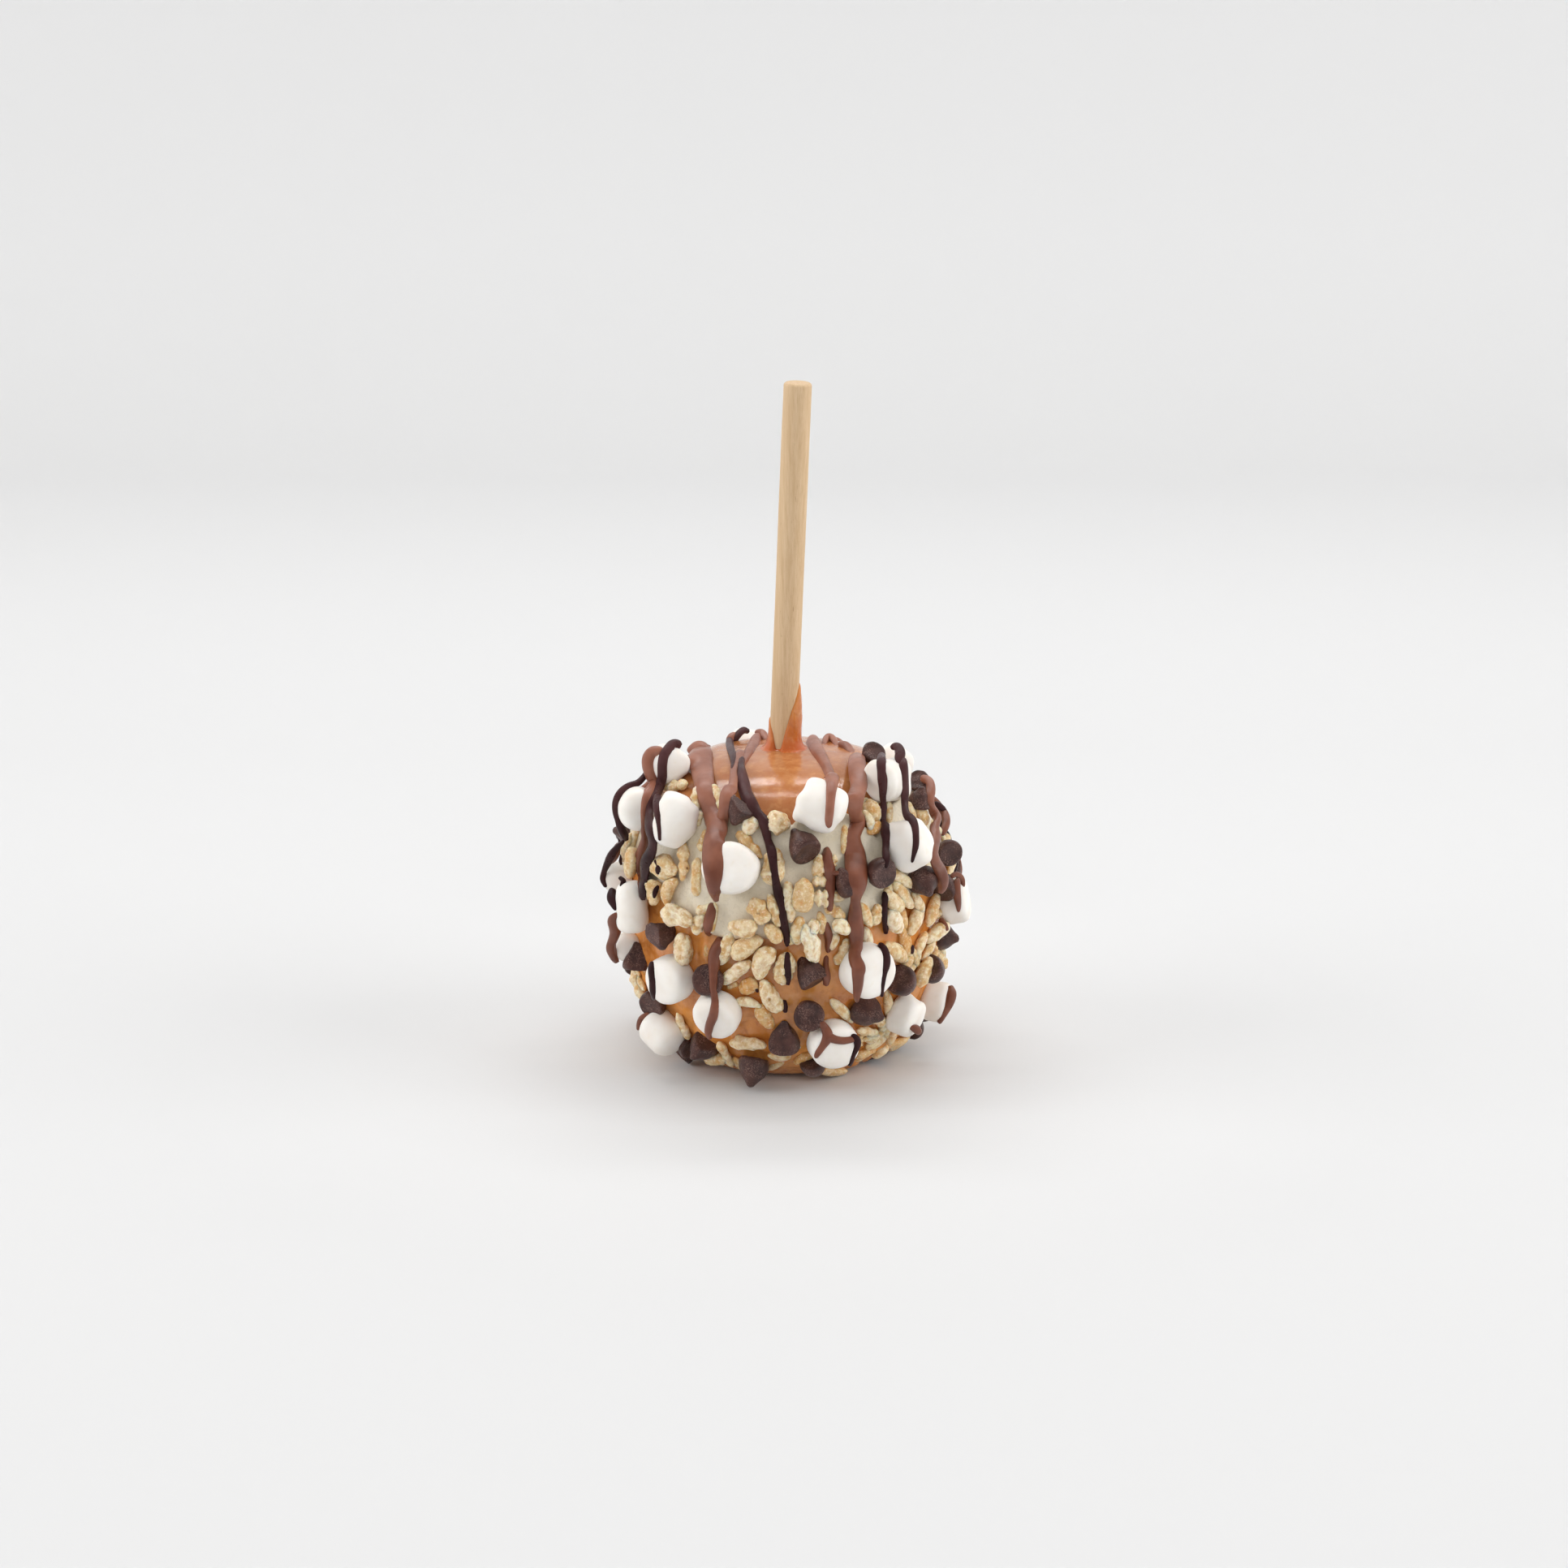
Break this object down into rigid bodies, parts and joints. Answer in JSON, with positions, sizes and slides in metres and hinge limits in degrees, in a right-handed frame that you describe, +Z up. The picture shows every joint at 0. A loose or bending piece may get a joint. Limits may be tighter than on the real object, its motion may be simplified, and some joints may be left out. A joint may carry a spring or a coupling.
{
  "type": "caramel apple",
  "caption": "Caramel-dipped apple on a round wooden stick, with a white confection band, mini marshmallows, crisped rice, chocolate chips and chocolate drizzle.",
  "frame": {"origin": "centre of the flat caramel foot the apple stands on", "axes": "+Z up from the foot; -Y is the front, towards which the stick leans a little; +X is to the right seen from the front"},
  "size_m": [0.0864, 0.0901, 0.1587],
  "materials": {
    "caramel": "glossy",
    "white_confection": "satin",
    "marshmallow": "matte",
    "wood": "bare, smooth",
    "milk_chocolate": "satin",
    "dark_chocolate": "satin",
    "crisped_rice": "matte, puffed"
  },
  "bodies": {
    "root": {"caramel_apple": "caramel", "white_coat": "white_confection", "stick": "wood", "marshmallow_01": "marshmallow", "marshmallow_02": "marshmallow", "marshmallow_03": "marshmallow", "marshmallow_04": "marshmallow", "marshmallow_05": "marshmallow", "marshmallow_06": "marshmallow", "marshmallow_07": "marshmallow", "marshmallow_08": "marshmallow", "marshmallow_09": "marshmallow", "marshmallow_10": "marshmallow", "marshmallow_11": "marshmallow", "marshmallow_12": "marshmallow", "marshmallow_13": "marshmallow", "marshmallow_14": "marshmallow", "marshmallow_15": "marshmallow", "marshmallow_16": "marshmallow", "marshmallow_17": "marshmallow", "marshmallow_18": "marshmallow", "marshmallow_19": "marshmallow", "marshmallow_20": "marshmallow", "marshmallow_21": "marshmallow", "marshmallow_22": "marshmallow", "marshmallow_23": "marshmallow", "marshmallow_24": "marshmallow", "marshmallow_25": "marshmallow", "marshmallow_26": "marshmallow", "marshmallow_27": "marshmallow", "marshmallow_28": "marshmallow", "marshmallow_29": "marshmallow", "marshmallow_30": "marshmallow", "marshmallow_31": "marshmallow", "marshmallow_32": "marshmallow", "marshmallow_33": "marshmallow", "marshmallow_34": "marshmallow", "marshmallow_35": "marshmallow"}
  },
  "joints": []
}
